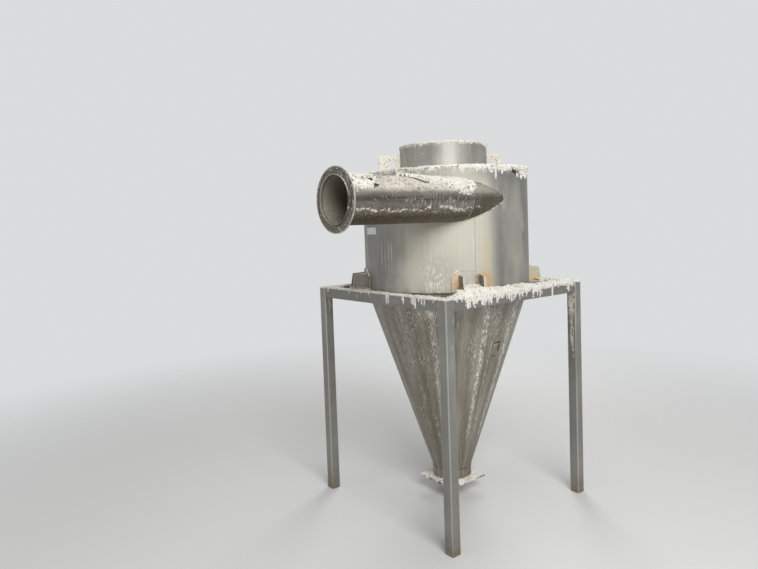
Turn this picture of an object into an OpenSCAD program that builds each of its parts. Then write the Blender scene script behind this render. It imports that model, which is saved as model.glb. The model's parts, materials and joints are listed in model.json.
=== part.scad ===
// Cyclone separator on its square stand.
// Millimetres. Ground is z = 0 and +Z is up. The stand's sides run along
// X and Y, and the inlet pipe points along -X, on the -Y side of the drum.
// The origin is at the bottom centre of the whole part's box.

/* [Stand] */
// Height of the stand's top, which carries the drum's brackets
stand_h = 1386; // [1340:1:1480]
// Width of each square leg tube
leg_w = 64; // [50:1:80]
// Wall of each leg tube
leg_wall = 4; // [3:0.5:8]
// Outer radius of a leg tube's rounded edges
leg_round = 8; // [6:0.5:12]
// Height of a top rail's upright leg
rail_h = 64; // [50:1:90]
// Width of a top rail's flat leg
rail_w = 64; // [50:1:90]
// Thickness of the rails' angle section
rail_t = 6; // [4:0.5:9]
// Thickness of the plate that closes each leg tube's top
cap_t = 5; // [3:0.5:10]
// Clear gap between the drum and the inner edge of the rails
drum_gap = 9; // [6:1:40]
// How far a rail's upright leg lies behind the outer faces of the stand's legs
rail_inset = 3; // [0:0.5:6]

/* [Drum] */
// Outside diameter of the drum
drum_d = 1067; // [960:1:1200]
// Height of the drum's wall, without the roof plate
drum_h = 724; // [620:1:900]
// Thickness of the drum's wall
drum_t = 4; // [3:0.5:8]
// Thickness of the flat roof plate
roof_t = 4; // [3:0.5:10]

/* [Cone and dust outlet] */
// Thickness of the cone's sheet, measured level
cone_t = 4; // [3:0.5:8]
// Outside diameter of the dust outlet neck
neck_d = 254; // [200:1:300]
// Wall of the dust outlet neck
neck_t = 4; // [3:0.5:8]
// Length of the straight neck under the cone
neck_h = 78; // [50:1:140]
// Height of the dust flange's underside above the ground
flange_clear = 90; // [60:1:200]
// Side of the square dust flange
dust_flange_w = 306; // [290:1:360]
// Thickness of the dust flange
dust_flange_t = 10; // [6:1:16]
// Distance of each bolt hole's centre from the flange's edges
dust_hole_inset = 23; // [16:1:26]
// Diameter of the dust flange's bolt holes
dust_hole_d = 14; // [9:1:18]

/* [Gas outlet] */
// Outside diameter of the gas outlet tube
gas_d = 564; // [480:1:600]
// Wall of the gas outlet tube
gas_t = 4; // [3:0.5:8]
// Height of the tube above the roof
gas_up = 182; // [140:1:300]
// Length of the tube that hangs inside the drum
gas_down = 380; // [300:1:460]

/* [Inlet] */
// Outside diameter of the inlet pipe
inlet_d = 254; // [200:1:300]
// Wall of the inlet pipe
inlet_t = 4; // [3:0.5:6]
// Wall of the stub between the pipe and the drum
stub_t = 3; // [2.5:0.5:6]
// Distance from the drum's axis to the inlet's open end
inlet_reach = 1149; // [1000:1:1300]
// Distance from the drum's axis to the weld between stub and pipe
stub_reach = 288; // [260:1:500]
// Distance from the roof's underside down to the top of the pipe
inlet_drop = 61; // [30:1:120]
// How far the pipe's outer side lies inside the drum's outer face
inlet_inset = 1; // [0.5:0.5:12]
// How far inside the drum's outer face the hole in its wall ends
mouth_stop = 18; // [14:1:30]
// Outside diameter of the inlet's ring flange
inlet_flange_d = 333; // [310:1:400]
// Thickness of the inlet's ring flange
inlet_flange_t = 6; // [4:0.5:12]
// How far the pipe stands out of the ring flange's face
inlet_lip = 8; // [4:1:20]

/* [Brackets] */
// Direction of the first bracket, seen from above, from +X
bracket_turn = 240; // [237:0.1:243]
// Width of the curved pad on the drum
pad_w = 212; // [190:1:240]
// Height of the pad
pad_h = 116; // [90:1:160]
// Thickness of the pad
pad_t = 6; // [4:0.5:10]
// Size of the pad's cut upper corners
pad_cut = 36; // [20:1:50]
// Distance between the middles of a bracket's two gussets
gusset_gap = 120; // [90:1:140]
// Thickness of each gusset
gusset_t = 8; // [6:0.5:12]
// How far the base plate shows past the foot of its gussets
base_edge = 4; // [2:1:10]
// How far a gusset stands out from the drum at its top
gusset_top = 84; // [40:1:90]
// How far the gussets' tops lie below the pad's top
gusset_drop = 20; // [0:1:40]
// How far a gusset's top edge falls towards its outer corner
gusset_fall = 8; // [0:1:20]
// Thickness of the base plate under the gussets
base_t = 10; // [6:1:16]

/* [Lifting lugs] */
// Direction of the first lug, seen from above, from +X
lug_turn = -31; // [-40:1:-20]
// How far the right lug stands out from the gas outlet tube
lug_w = 110; // [90:1:140]
// How far the left lug stands out from the gas outlet tube
lug_left_w = 144; // [90:1:160]
// Height of a lug above the roof
lug_h = 130; // [110:1:160]
// Thickness of a lug
lug_t = 12; // [8:1:20]
// Diameter of the lug's hole
lug_hole_d = 46; // [30:1:50]
// Distance of the hole's centre from the tube
lug_hole_out = 58; // [50:1:66]
// Height of the hole's centre above the roof
lug_hole_up = 70; // [60:1:80]
// Radius of the right lug's outer top corner
lug_round = 44; // [20:1:60]
// Radius of the left lug's outer top corner
lug_left_round = 20; // [10:1:60]

/* [Hidden] */

// Gap left at a curved seat, which the weld fills
seat = 0.3;
// How far a cutting shape runs past what it cuts
over = 5;
// Sides of a round shape
fine = 288;

drum_r = drum_d / 2;
gas_r = gas_d / 2;
neck_r = neck_d / 2;
inlet_r = inlet_d / 2;

stand_w = drum_d + 2 * (drum_gap + rail_w + rail_inset);
stand_half = stand_w / 2;
rail_out = stand_half - rail_inset;
leg_mid = stand_half - leg_w / 2;
rail_len = stand_w - 2 * leg_w;
leg_h = stand_h - cap_t;

// The part's box runs from the inlet's end to the stand's far side, so the
// drum's axis is moved to put the origin at the middle of that box
axis_x = (inlet_reach - stand_half) / 2;

drum_z = stand_h;
roof_z = drum_z + drum_h;
roof_top = roof_z + roof_t;
neck_z = flange_clear + dust_flange_t;
cone_z = neck_z + neck_h;
dust_hole_at = dust_flange_w / 2 - dust_hole_inset;

inlet_y = -(drum_r - inlet_inset - inlet_r);
inlet_z = roof_z - inlet_drop - inlet_r;

pad_in = drum_r + seat;
pad_out = pad_in + pad_t;
gusset_in = pad_out + seat;
base_z = stand_h + base_t;
// A bracket stands askew to its rail, and its base plate's outer corner ends
// just inside the rail's outer face
bracket_skew = abs(bracket_turn - 270);
base_out = (rail_out - base_edge / 2 - pad_w / 2 * sin(bracket_skew)) / cos(bracket_skew);
gusset_foot = base_out - base_edge;
gusset_h = pad_h - gusset_drop;

steel_stand = [0.52, 0.52, 0.51];
steel_drum = [0.74, 0.72, 0.68];
steel_cone = [0.62, 0.60, 0.56];
steel_inlet = [0.66, 0.65, 0.63];
steel_plate = [0.58, 0.57, 0.55];

// Moves a shape from the drum's axis to its place in the part
module place() {
    translate([axis_x, 0, 0]) children();
}

// A tube that stands on z = 0
module tube(outer_r, wall, h) {
    difference() {
        cylinder(r = outer_r, h = h, $fn = fine);
        translate([0, 0, -over]) cylinder(r = outer_r - wall, h = h + 2 * over, $fn = fine);
    }
}

// Square bar with rounded edges that stands on z = 0
module rounded_bar(w, r, h) {
    linear_extrude(height = h) union() {
        square([w, w - 2 * r], center = true);
        square([w - 2 * r, w], center = true);
        for (x = [-1, 1], y = [-1, 1])
            translate([x * (w / 2 - r), y * (w / 2 - r)]) circle(r = r, $fn = fine / 4);
    }
}

module leg(side_x, side_y) {
    color(steel_stand) place() translate([side_x * leg_mid, side_y * leg_mid, 0]) difference() {
        rounded_bar(leg_w, leg_round, leg_h);
        translate([0, 0, -over]) rounded_bar(leg_w - 2 * leg_wall, leg_round - leg_wall, leg_h + 2 * over);
    }
}

module cap(side_x, side_y) {
    color(steel_stand) place() translate([side_x * leg_mid, side_y * leg_mid, leg_h])
        rounded_bar(leg_w, leg_round, cap_t);
}

// Angle section between two legs
module rail(turn) {
    color(steel_stand) place() rotate([0, 0, turn])
        translate([-rail_len / 2, -rail_out, stand_h]) rotate([90, 0, 90])
            linear_extrude(height = rail_len) polygon([
                [0, 0], [rail_w, 0], [rail_w, -rail_t],
                [rail_t, -rail_t], [rail_t, -rail_h], [0, -rail_h]
            ]);
}

module drum_wall() {
    color(steel_drum) place() difference() {
        translate([0, 0, drum_z]) tube(drum_r, drum_t, drum_h);
        intersection() {
            inlet_solid(inlet_r - stub_t, 0, inlet_reach);
            translate([-inlet_reach, mouth_stop - drum_r, drum_z]) cube([inlet_reach, drum_r, drum_h]);
        }
    }
}

module drum_roof() {
    color(steel_drum) place() translate([0, 0, roof_z]) tube(drum_r, drum_r - gas_r - seat, roof_t);
}

module gas_outlet_tube() {
    color(steel_drum) place() translate([0, 0, roof_z - gas_down])
        tube(gas_r, gas_t, gas_down + roof_t + gas_up);
}

module cone_wall() {
    color(steel_cone) place() rotate_extrude($fn = fine) polygon([
        [neck_r, cone_z], [drum_r, drum_z], [drum_r - cone_t, drum_z], [neck_r - cone_t, cone_z]
    ]);
}

module dust_neck() {
    color(steel_cone) place() translate([0, 0, neck_z]) tube(neck_r, neck_t, neck_h);
}

module dust_flange() {
    color(steel_plate) place() translate([0, 0, flange_clear]) difference() {
        translate([-dust_flange_w / 2, -dust_flange_w / 2, 0])
            cube([dust_flange_w, dust_flange_w, dust_flange_t]);
        translate([0, 0, -over])
            cylinder(r = neck_r - neck_t, h = dust_flange_t + 2 * over, $fn = fine);
        for (x = [-dust_hole_at, dust_hole_at], y = [-dust_hole_at, dust_hole_at])
            translate([x, y, -over])
                cylinder(d = dust_hole_d, h = dust_flange_t + 2 * over, $fn = fine / 4);
    }
}

// Round bar on the inlet's axis, between two distances from the drum's axis
module inlet_solid(r, near, far) {
    translate([-far, inlet_y, inlet_z]) rotate([0, 90, 0]) cylinder(r = r, h = far - near, $fn = fine);
}

module inlet_stub() {
    color(steel_inlet) place() difference() {
        inlet_solid(inlet_r, 0, stub_reach);
        inlet_solid(inlet_r - stub_t, -over, stub_reach + over);
        translate([0, 0, drum_z]) cylinder(r = drum_r + seat, h = drum_h, $fn = fine);
    }
}

module inlet_pipe() {
    color(steel_inlet) place() difference() {
        inlet_solid(inlet_r, stub_reach, inlet_reach);
        inlet_solid(inlet_r - inlet_t, stub_reach - over, inlet_reach + over);
        translate([0, 0, drum_z]) cylinder(r = drum_r + seat, h = drum_h, $fn = fine);
    }
}

module inlet_flange() {
    color(steel_plate) place() difference() {
        inlet_solid(inlet_flange_d / 2, inlet_reach - inlet_lip - inlet_flange_t, inlet_reach - inlet_lip);
        inlet_solid(inlet_r + seat, stub_reach, inlet_reach + over);
    }
}

// Turns a bracket piece, drawn along +X, to one of the four sides
module at_bracket(side) {
    place() rotate([0, 0, bracket_turn + side * 90]) children();
}

module pad(side) {
    color(steel_drum) at_bracket(side) intersection() {
        translate([0, 0, base_z]) difference() {
            cylinder(r = pad_out, h = pad_h, $fn = fine);
            translate([0, 0, -over]) cylinder(r = pad_in, h = pad_h + 2 * over, $fn = fine);
        }
        translate([0, -pad_w / 2, base_z]) rotate([90, 0, 90]) linear_extrude(height = drum_r * 2) polygon([
            [0, 0], [pad_w, 0], [pad_w, pad_h - pad_cut],
            [pad_w - pad_cut, pad_h], [pad_cut, pad_h], [0, pad_h - pad_cut]
        ]);
    }
}

module gussets(side) {
    color(steel_plate) at_bracket(side) difference() {
        for (way = [-1, 1])
            translate([0, way * gusset_gap / 2 + gusset_t / 2, base_z]) rotate([90, 0, 0])
                linear_extrude(height = gusset_t) polygon([
                    [drum_r / 2, 0], [gusset_foot, 0],
                    [drum_r + gusset_top, gusset_h - gusset_fall],
                    [drum_r, gusset_h], [drum_r / 2, gusset_h]
                ]);
        translate([0, 0, base_z - over]) cylinder(r = gusset_in, h = pad_h + 2 * over, $fn = fine);
    }
}

module base(side) {
    color(steel_plate) at_bracket(side) difference() {
        translate([drum_r / 2, -pad_w / 2, stand_h]) cube([base_out - drum_r / 2, pad_w, base_t]);
        translate([0, 0, stand_h - over]) cylinder(r = pad_in, h = base_t + 2 * over, $fn = fine);
    }
}

// Lifting lug in the plane through the drum's axis
module lug(side, w, round) {
    color(steel_plate) place() rotate([0, 0, lug_turn + side * 180]) difference() {
        translate([0, lug_t / 2, roof_top]) rotate([90, 0, 0]) linear_extrude(height = lug_t) difference() {
            union() {
                translate([gas_r / 2, 0]) square([gas_r / 2 + w, lug_h - round]);
                translate([gas_r / 2, 0]) square([gas_r / 2 + w - round, lug_h]);
                translate([gas_r + w - round, lug_h - round]) circle(r = round, $fn = fine);
            }
            translate([gas_r + lug_hole_out, lug_hole_up]) circle(d = lug_hole_d, $fn = fine / 4);
        }
        translate([0, 0, roof_top - over]) cylinder(r = gas_r + seat, h = lug_h + 2 * over, $fn = fine);
    }
}

leg(-1, -1);  // leg_front_left
leg(1, -1);  // leg_front_right
leg(-1, 1);  // leg_back_left
leg(1, 1);  // leg_back_right
cap(-1, -1);  // cap_front_left
cap(1, -1);  // cap_front_right
cap(-1, 1);  // cap_back_left
cap(1, 1);  // cap_back_right
rail(0);  // rail_front
rail(90);  // rail_right
rail(180);  // rail_back
rail(270);  // rail_left
drum_wall();
drum_roof();
gas_outlet_tube();
cone_wall();
dust_neck();
dust_flange();
inlet_stub();
inlet_pipe();
inlet_flange();
pad(0);  // pad_front
pad(1);  // pad_right
pad(2);  // pad_back
pad(3);  // pad_left
gussets(0);  // gussets_front
gussets(1);  // gussets_right
gussets(2);  // gussets_back
gussets(3);  // gussets_left
base(0);  // base_front
base(1);  // base_right
base(2);  // base_back
base(3);  // base_left
lug(0, lug_w, lug_round);  // lug_right
lug(1, lug_left_w, lug_left_round);  // lug_left
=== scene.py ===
# Cyclone separator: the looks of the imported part, in metres, in the part's own frame.
# The drum's upright axis stands at AXIS_X, the inlet pipe points along -X on the -Y side,
# and the photograph looks from the -X -Y side at about a person's eye height.
import json
import random
from math import atan2, cos, degrees, hypot, pi, radians, sin, sqrt

import bpy
from mathutils import Matrix, Vector, noise


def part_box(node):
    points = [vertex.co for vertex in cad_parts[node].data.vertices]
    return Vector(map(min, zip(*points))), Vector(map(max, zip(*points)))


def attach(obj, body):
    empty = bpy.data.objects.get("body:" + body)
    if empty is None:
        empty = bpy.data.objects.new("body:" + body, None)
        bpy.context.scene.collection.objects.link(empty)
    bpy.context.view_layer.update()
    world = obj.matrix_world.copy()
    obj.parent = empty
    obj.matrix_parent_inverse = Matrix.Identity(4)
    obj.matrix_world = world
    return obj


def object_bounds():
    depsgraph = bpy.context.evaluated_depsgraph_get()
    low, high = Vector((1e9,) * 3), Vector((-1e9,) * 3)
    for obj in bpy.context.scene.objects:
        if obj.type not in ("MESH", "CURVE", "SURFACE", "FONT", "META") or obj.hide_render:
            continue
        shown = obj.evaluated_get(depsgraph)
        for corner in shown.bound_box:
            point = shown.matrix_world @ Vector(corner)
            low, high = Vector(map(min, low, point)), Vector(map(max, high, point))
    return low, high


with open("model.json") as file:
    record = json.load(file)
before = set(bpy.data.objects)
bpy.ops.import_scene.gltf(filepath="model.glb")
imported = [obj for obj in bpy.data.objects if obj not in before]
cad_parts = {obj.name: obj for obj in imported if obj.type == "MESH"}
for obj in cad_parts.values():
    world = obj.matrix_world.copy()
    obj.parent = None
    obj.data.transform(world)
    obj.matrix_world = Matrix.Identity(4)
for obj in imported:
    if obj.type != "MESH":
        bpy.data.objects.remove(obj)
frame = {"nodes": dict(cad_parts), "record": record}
cad_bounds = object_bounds()
NODES = frame["nodes"]

# Sizes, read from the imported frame
DRUM_LOW, DRUM_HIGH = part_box("drum_wall")
ROOF_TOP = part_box("drum_roof")[1][2]
COLLAR_LOW, COLLAR_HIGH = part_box("gas_outlet_tube")
PIPE_LOW, PIPE_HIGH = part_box("inlet_pipe")
JOINT_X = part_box("inlet_stub")[0][0]
RING_LOW, RING_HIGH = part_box("inlet_flange")
CONE_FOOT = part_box("cone_wall")[0][2]
NECK_LOW, NECK_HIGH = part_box("dust_neck")
PLATE_LOW, PLATE_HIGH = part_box("dust_flange")
LEG_LOW, LEG_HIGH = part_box("leg_front_left")
RAIL_LOW, RAIL_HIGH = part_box("rail_front")

AXIS_X = (DRUM_LOW[0] + DRUM_HIGH[0]) / 2
CENTRE = Vector((AXIS_X, 0, 0))
UP = Vector((0, 0, 1))
DRUM_R = (DRUM_HIGH[0] - DRUM_LOW[0]) / 2
DRUM_Z = DRUM_LOW[2]
ROOF_Z = DRUM_HIGH[2]
COLLAR_R = (COLLAR_HIGH[0] - COLLAR_LOW[0]) / 2
COLLAR_TOP = COLLAR_HIGH[2]
PIPE_R = (PIPE_HIGH[2] - PIPE_LOW[2]) / 2
PIPE_Y = PIPE_LOW[1] + PIPE_R
PIPE_Z = (PIPE_LOW[2] + PIPE_HIGH[2]) / 2
MOUTH_X = PIPE_LOW[0]
RING_R = (RING_HIGH[2] - RING_LOW[2]) / 2
NECK_R = (NECK_HIGH[0] - NECK_LOW[0]) / 2
STAND_TOP = RAIL_HIGH[2]
LEG_OUT = -LEG_LOW[1]
LEG_W = LEG_HIGH[1] - LEG_LOW[1]
RAIL_OUT = -RAIL_LOW[1]
RAIL_W = RAIL_HIGH[1] - RAIL_LOW[1]
RAIL_H = RAIL_HIGH[2] - RAIL_LOW[2]
RAIL_LEN = RAIL_HIGH[0] - RAIL_LOW[0]

# The brackets' sizes, as in the part's source, and the front one's degrees round from +X
FRONT_BRACKET = 240
BRACKET_HALF = 0.106
BASE_OUT = 0.6368
BASE_T = 0.01
PAD_T = 0.0063
PAD_H = 0.116
PAD_CUT = 0.036
GUSSET_HALF_GAP = 0.06
GUSSET_T = 0.008
GUSSET_TOP = 0.084
GUSSET_H = 0.096
GUSSET_FALL = 0.008
PAD_Z = STAND_TOP + BASE_T
# Each word's bracket stands 90 degrees further round than the one before
BRACKETS = ("front", "right", "back", "left")

# Two bare black spots on the pipe behind the ring flange: the place along the pipe, the
# degrees from its top, the bare steel's radius, and the black's reach along and in degrees
BARE_SPOTS = ((-0.706, 38, 0.031, 0.032, 14), (-0.696, 57, 0.026, 0.028, 9))


# Small helpers
def deselect():
    bpy.ops.object.select_all(action="DESELECT")


def activate(piece):
    deselect()
    piece.select_set(True)
    bpy.context.view_layer.objects.active = piece


def added(name, data):
    piece = bpy.data.objects.new(name, data)
    bpy.context.scene.collection.objects.link(piece)
    return piece


def apply_all(piece):
    activate(piece)
    for modifier in list(piece.modifiers):
        bpy.ops.object.modifier_apply(modifier=modifier.name)


def keep(piece, name, finish):
    """Names a finished piece, gives it its finish and makes it ride with the part."""
    piece.name = name
    piece.data.name = name
    piece.data.materials.clear()
    piece.data.materials.append(finish)
    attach(piece, "root")


def smooth(low, high, value):
    """0 at low, 1 at high and a soft step between; low may be the larger."""
    share = min(1, max(0, (value - low) / (high - low)))
    return share * share * (3 - 2 * share)


def hump(value, middle, half, tall):
    return tall * smooth(half, 0, abs(value - middle))


def lumps(spot, size, seed):
    """Soft noise, about -1 to 1, with features of the given size."""
    return noise.noise(Vector(spot) / size + Vector((seed * 7.3, seed * 3.1, seed * 5.7)))


def on_drum(turn, radius, z):
    return Vector((AXIS_X + radius * cos(turn), radius * sin(turn), z))


# Shader maths
class Shade:
    """A value or colour in a material's tree; Python's operators add its Math nodes."""

    def __init__(self, tree, socket=None):
        self.tree = tree
        self.socket = socket

    def node(self, kind, settings=None, inputs=None, output=0):
        """Adds a node: first its settings, then the values or links of its sockets."""
        made = self.tree.nodes.new(kind)
        for name, value in (settings or {}).items():
            setattr(made, name, value)
        for name, value in (inputs or {}).items():
            if isinstance(value, Shade):
                self.tree.links.new(value.socket, made.inputs[name])
            else:
                made.inputs[name].default_value = value
        return Shade(self.tree, made.outputs[output])

    def math(self, operation, *values):
        return self.node("ShaderNodeMath", {"operation": operation}, dict(enumerate(values)))

    def operator(operation, turned=False):
        """A method that adds one kind of Math node."""

        def method(self, *others):
            return self.math(operation, *((*others, self) if turned else (self, *others)))

        return method

    __add__ = __radd__ = operator("ADD")
    __sub__ = operator("SUBTRACT")
    __rsub__ = operator("SUBTRACT", turned=True)
    __mul__ = __rmul__ = operator("MULTIPLY")
    __truediv__ = operator("DIVIDE")
    __pow__ = operator("POWER")
    __abs__ = operator("ABSOLUTE")
    larger = operator("MAXIMUM")
    smaller = operator("MINIMUM")

    def __neg__(self):
        return self * -1

    def step(self, low, high):
        """0 at low, 1 at high and a soft step between; low may be the larger."""
        return self.node(
            "ShaderNodeMapRange",
            {"interpolation_type": "SMOOTHSTEP"},
            {"Value": self, "From Min": low, "From Max": high},
        )

    def bell(self, middle, reach):
        """1 at the middle, falling softly to 0 at the reach on each side."""
        return abs(self - middle).step(reach, 0)

    def split(self):
        apart = self.node("ShaderNodeSeparateXYZ", inputs={"Vector": self})
        return [Shade(self.tree, output) for output in apart.socket.node.outputs]

    def noise(self, x, y, z, detail=3):
        """Noise at a place given in features of about one unit."""
        place = self.node("ShaderNodeCombineXYZ", inputs={"X": x, "Y": y, "Z": z})
        return self.node(
            "ShaderNodeTexNoise", inputs={"Vector": place, "Scale": 1.0, "Detail": detail}
        )

    def blend(self, first, second):
        """Mixes two colours by this value."""
        return self.node(
            "ShaderNodeMix",
            {"data_type": "RGBA", "clamp_factor": True},
            {"Factor": self, 6: first, 7: second},
            output=2,
        )


def colour(red, green, blue):
    """A colour written as it shows on a screen, 0 to 255."""
    parts = []
    for part in (red, green, blue):
        part /= 255
        parts.append(part / 12.92 if part <= 0.04045 else ((part + 0.055) / 1.055) ** 2.4)
    return (*parts, 1)


CHALK = (239, 236, 228)
CHALK_DIRTY = (202, 196, 183)
# Painted shade in the residue's small pits
CHALK_PIT_SHADE = (104, 97, 88)


class Finish:
    """A material in the making, with the places that its patterns are drawn from."""

    def __init__(self, name):
        self.material = bpy.data.materials.new(name)
        self.material.use_nodes = True
        self.tree = self.material.node_tree
        self.shader = self.tree.nodes["Principled BSDF"]
        here = Shade(self.tree).node("ShaderNodeTexCoord", output=3)
        self.x, self.y, self.z = here.split()
        self.side = self.x - AXIS_X
        self.radius = (self.side * self.side + self.y * self.y) ** 0.5
        # Degrees round the drum: 0 at the inlet's side (-X), 90 at the front (-Y)
        self.turn = self.side.math("ARCTAN2", -self.y, -self.side) * (180 / pi)
        self.round_x = self.side / self.radius
        self.round_y = self.y / self.radius
        # No film of residue until cover() lays one
        self.film = self.x * 0

    def blotches(self, per_metre, seed=0, detail=3):
        x, y, z = (place * per_metre for place in (self.x, self.y, self.z))
        return self.x.noise(x + seed, y, z, detail)

    def streaks(self, per_metre, stretch, seed, detail=3):
        """Upright streaks, seamless round the drum and on the stand."""
        x, y = self.x * per_metre, self.y * per_metre
        return self.x.noise(x + seed, y, self.z * (per_metre / stretch), detail)

    def tones(self, mask, first, second):
        """Starts the colour: the first tone where mask is 0 and the second where it is 1."""
        self.base = mask.blend(colour(*first), colour(*second))

    def paint(self, mask, *tone):
        """Lays a tone over the colour where mask is 1."""
        self.base = mask.blend(self.base, colour(*tone))

    def chalk(self, white, dirty, pit_shade):
        """The residue's colour: white with dull patches and small pits painted dark as their shade."""
        patches = self.blotches(13, 3, 4).step(0.46, 0.68) * 0.55
        grit = self.blotches(90, 8, 2).step(0.5, 0.66) * 0.65
        plain = patches.larger(grit).blend(colour(*white), colour(*dirty))
        holes = self.blotches(68, 21, 2).step(0.58, 0.63) * self.blotches(15, 27).step(0.36, 0.52)
        return (holes * pit_shade).blend(plain, colour(*CHALK_PIT_SHADE))

    def cover(self, film, white=CHALK, dirty=CHALK_DIRTY, pit_shade=0.5):
        """Lays dried residue over the colour where film is 1."""
        self.film = film
        self.base = film.blend(self.base, self.chalk(white, dirty, pit_shade))

    def link(self, value, socket):
        self.tree.links.new(value.socket, self.shader.inputs[socket])

    def bump(self, height, strength, reach):
        inputs = {"Strength": strength, "Distance": reach, "Height": height}
        self.link(height.node("ShaderNodeBump", inputs=inputs), "Normal")

    def close(self, metallic, roughness, height, strength=0.35, reach=0.002):
        """Joins bare metal and the dull film of residue to the shader."""
        bare = 1 - self.film
        self.link(self.base, "Base Color")
        self.link(metallic * bare, "Metallic")
        self.link(roughness * bare + self.film * 0.92, "Roughness")
        self.bump(height, strength, reach)
        return self.material


# Finishes
def residue_finish(name, white, dirty, pit_shade):
    f = Finish(name)
    f.base = f.chalk(white, dirty, pit_shade)
    f.paint(f.blotches(5, 9).step(0.6, 0.78) * 0.25, 206, 190, 170)
    f.link(f.base, "Base Color")
    f.shader.inputs["Roughness"].default_value = 0.95
    f.shader.inputs["Specular IOR Level"].default_value = 0.2
    f.bump(f.blotches(300, 1) * 0.45 + f.blotches(85, 5) * 1.1, 1.0, 0.006)
    return f.material


def drum_finish():
    f = Finish("drum_mill_steel")
    wide = f.streaks(8, 9, 0, 4)
    fine = f.streaks(75, 45, 4, 2)
    cloud = f.blotches(2.6, 2, 4)
    mill = (wide * 0.3 + fine * 0.12 + cloud * 0.6).step(0.38, 0.68)
    f.tones(mill, (122, 121, 117), (150, 148, 142))
    # A cream film of dust on the side towards the inlet and the front bracket, which is also painted
    # light: that side lighter, the steel beyond it darker
    wander = (cloud - 0.5) * 30 + (wide - 0.5) * 8
    facing = (f.turn + wander).step(4, 24) * (f.turn + wander * 0.4).step(83, 69)
    elsewhere = f.x.noise(f.round_x * 1.8, f.round_y * 1.8, f.z * 0.9).step(0.5, 0.66) * 0.45
    dust_and_painted_light = facing.larger(elsewhere) * (0.8 + (cloud - 0.5) * 0.7 + (fine - 0.5) * 0.25)
    # Less of it high up: painted shade on the wall above the pipe
    dust_and_painted_light = dust_and_painted_light * (1 - f.z.step(1.98, 2.08) * 0.55)
    f.paint(dust_and_painted_light, 202, 198, 183)
    # Ochre stain beside the front bracket, rusty at its foot
    ochre = f.turn.bell(72.2, 6.4) * f.z.step(1.8, 1.58) * f.streaks(26, 12, 7).step(0.25, 0.6)
    f.paint(ochre * 0.55, 204, 184, 138)
    rusty = f.turn.bell(72.8, 4.6) * f.z.step(1.54, 1.43) * f.streaks(50, 8, 9, 2).step(0.28, 0.55)
    f.paint(rusty * 0.9, 196, 146, 90)
    # A brown spot with a tan thread above it
    thread = f.turn.bell(108, 1.3) * f.z.step(1.7, 1.74) * f.z.step(1.88, 1.82)
    f.paint(thread * 0.45, 190, 168, 134)
    spot = f.turn.bell(108, 1.6) * f.z.bell(1.7, 0.05) * f.blotches(40).step(0.35, 0.55)
    f.paint(spot * 0.9, 88, 60, 40)
    # Pale scuffs beside the pipe's pointed end
    scuff = f.turn.bell(84, 8) * f.z.bell(1.93, 0.14) * f.streaks(34, 3, 23, 4).step(0.44, 0.6)
    f.paint(scuff * 0.5, 198, 197, 192)
    # Brown edge beside the left bracket's pad
    corner = f.turn.bell(-19, 3.2) * f.z.step(1.52, 1.44) * f.blotches(26, 5).step(0.3, 0.55)
    f.paint(corner * 0.85, 112, 84, 60)
    # A hairline mark down to the front bracket
    wobble = (f.z.noise(0, 0, f.z * 9) - 0.5) * 2.2
    hair = abs(f.turn - 64.2 - wobble).step(0.24, 0.05) * f.z.step(1.86, 1.8) * f.z.step(1.5, 1.53)
    f.paint(hair * 0.7, 104, 98, 86)
    # Pale runs low on the left side, and specks left of the front bracket
    pale = sum(f.turn.bell(turn, reach) for turn, reach in ((-1, 0.7), (2.4, 0.5), (5.7, 0.6), (8.5, 0.5)))
    pale = pale * f.z.step(1.5, 1.56) * f.z.step(1.72, 1.66) * f.streaks(60, 5, 3).step(0.3, 0.55)
    speck = f.turn.bell(39, 12) * f.z.step(1.7, 1.45) * f.streaks(165, 5, 11, 2).step(0.51, 0.57)
    speck = speck * f.streaks(20, 3, 31, 2).step(0.3, 0.46)
    rim = f.streaks(70, 5, 2).step(0.5, 0.6) * f.z.step(ROOF_TOP - 0.055, ROOF_TOP - 0.01)
    haze = f.streaks(30, 12, 15, 4).step(0.6, 0.78)
    film = (pale * 0.6).larger(speck).larger(rim * 0.7).larger(haze * 0.16)
    f.cover(film)
    foot = f.z.step(DRUM_Z + 0.05, DRUM_Z) * f.streaks(20, 2, 5).step(0.3, 0.7)
    f.paint(foot * 0.4, 128, 118, 100)
    # Painted shade in the gap under the torn crust at the roof's rim
    torn = f.turn.bell(98.5, 7) * (f.z + f.turn * 0.003 - 2.3745).bell(0, 0.015)
    torn = torn * f.blotches(60, 3).step(0.22, 0.4)
    f.paint(torn.step(0.06, 0.22), 26, 24, 22)
    metallic = (0.66 - dust_and_painted_light * 0.45) * (1 - torn)
    rough = 0.5 + cloud * 0.12 + dust_and_painted_light * 0.14
    return f.close(metallic, rough, fine * 0.1 + wide * 0.15 + film * 0.8, 0.22)


def collar_finish():
    f = Finish("outlet_mill_steel")
    wide = f.streaks(11, 12, 21)
    fine = f.streaks(90, 50, 4, 2)
    inside = f.radius.step(COLLAR_R - 0.001, COLLAR_R - 0.003)
    mill = (wide * 0.35 + fine * 0.15 + f.blotches(5, 9, 4) * 0.5).step(0.36, 0.66)
    f.tones(mill, (138, 138, 132), (170, 169, 161))
    f.paint(inside * 0.6, 112, 104, 92)
    seam = f.turn.bell(14.2, 0.55)
    f.paint(seam * 0.5, 96, 94, 88)
    rim = f.streaks(80, 4, 4).step(0.5, 0.58) * f.z.step(COLLAR_TOP - 0.03, COLLAR_TOP - 0.008)
    lip = f.z.step(COLLAR_TOP - 0.006, COLLAR_TOP - 0.001)
    splash = f.streaks(60, 5, 31).step(0.64, 0.74)
    foot = f.z.bell(ROOF_TOP, 0.034) * f.streaks(45, 2, 13, 2).step(0.38, 0.6) * (1 - inside)
    film = (rim * 0.8).larger(lip).larger(splash * 0.3).larger(foot * 0.8)
    f.cover(film)
    return f.close(0.62, 0.46 + wide * 0.14, fine * 0.15 + film * 0.8, 0.22)


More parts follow.
